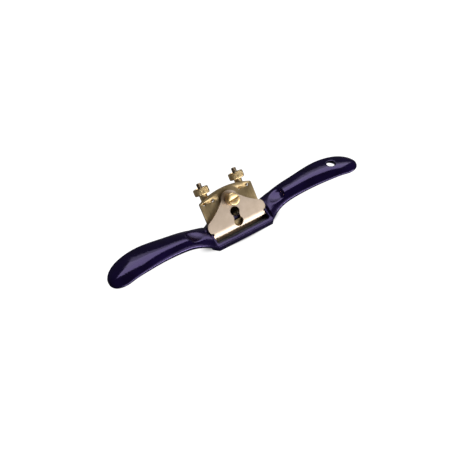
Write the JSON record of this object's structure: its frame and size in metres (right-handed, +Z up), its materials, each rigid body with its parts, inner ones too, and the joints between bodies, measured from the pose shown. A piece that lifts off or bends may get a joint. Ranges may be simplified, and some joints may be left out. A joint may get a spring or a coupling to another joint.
{
  "type": "flat spokeshave",
  "caption": "Flat-sole metal spokeshave: winged handles either side of a narrow sole, a bedded blade under a lever cap, and knurled nuts that set its depth.",
  "frame": {"origin": "the middle of the cutting edge's line on the sole plane", "axes": "+X to the right handle, -Y to the toe (the way the tool is pushed), +Z up from the sole"},
  "size_m": [0.2538, 0.0555, 0.0355],
  "materials": {
    "enamelled_iron": "gloss enamel over sand-cast iron, sole ground bare",
    "tool_steel": "ground flat, hardened",
    "satin_cap": "cast, satin nickel plate",
    "blackened_steel": "black oxide",
    "stud_steel": "threaded, oiled",
    "brass": "turned and knurled"
  },
  "bodies": {
    "frame": {"body_casting": "enamelled_iron", "adjuster_stud_left": "stud_steel", "adjuster_stud_right": "stud_steel"},
    "blade": {"blade": "tool_steel"},
    "lever_cap": {"lever_cap": "satin_cap"},
    "cap_screw": {"cap_screw": "blackened_steel"},
    "thumb_screw": {"thumb_screw": "brass"},
    "nut_left": {"adjuster_nut_left": "brass"},
    "nut_right": {"adjuster_nut_right": "brass"}
  },
  "joints": [
    {"name": "blade_advance", "type": "slide", "parent": "frame", "child": "blade", "axis": [0, 0.7071, 0.7071], "range_m": [-0.002, 0.002]},
    {"name": "nut_left_turn", "type": "hinge", "parent": "blade", "child": "nut_left", "pos_m": [-0.01835, 0.02934, 0.02086], "axis": [0, 0.7071, 0.7071], "range_deg": [-900, 900]},
    {"name": "nut_right_turn", "type": "hinge", "parent": "blade", "child": "nut_right", "pos_m": [0.01835, 0.02934, 0.02086], "axis": [0, 0.7071, 0.7071], "range_deg": [-900, 900]},
    {"name": "cap_slide", "type": "slide", "parent": "frame", "child": "lever_cap", "axis": [0, 0.7071, 0.7071], "range_m": [0, 0.0095]},
    {"name": "thumb_screw_turn", "type": "hinge", "parent": "lever_cap", "child": "thumb_screw", "pos_m": [0, 0.0215, 0.0215], "axis": [0, -0.7071, 0.7071], "range_deg": [-720, 720]},
    {"name": "cap_screw_turn", "type": "hinge", "parent": "frame", "child": "cap_screw", "pos_m": [0, 0.01336, 0.01336], "axis": [0, -0.7071, 0.7071], "range_deg": [-720, 720]}
  ],
  "couplings": [
    {"joint": "blade_advance", "follows": "nut_left_turn", "m_per_rad": 0.00012732},
    {"joint": "nut_right_turn", "follows": "nut_left_turn", "ratio": 1}
  ]
}
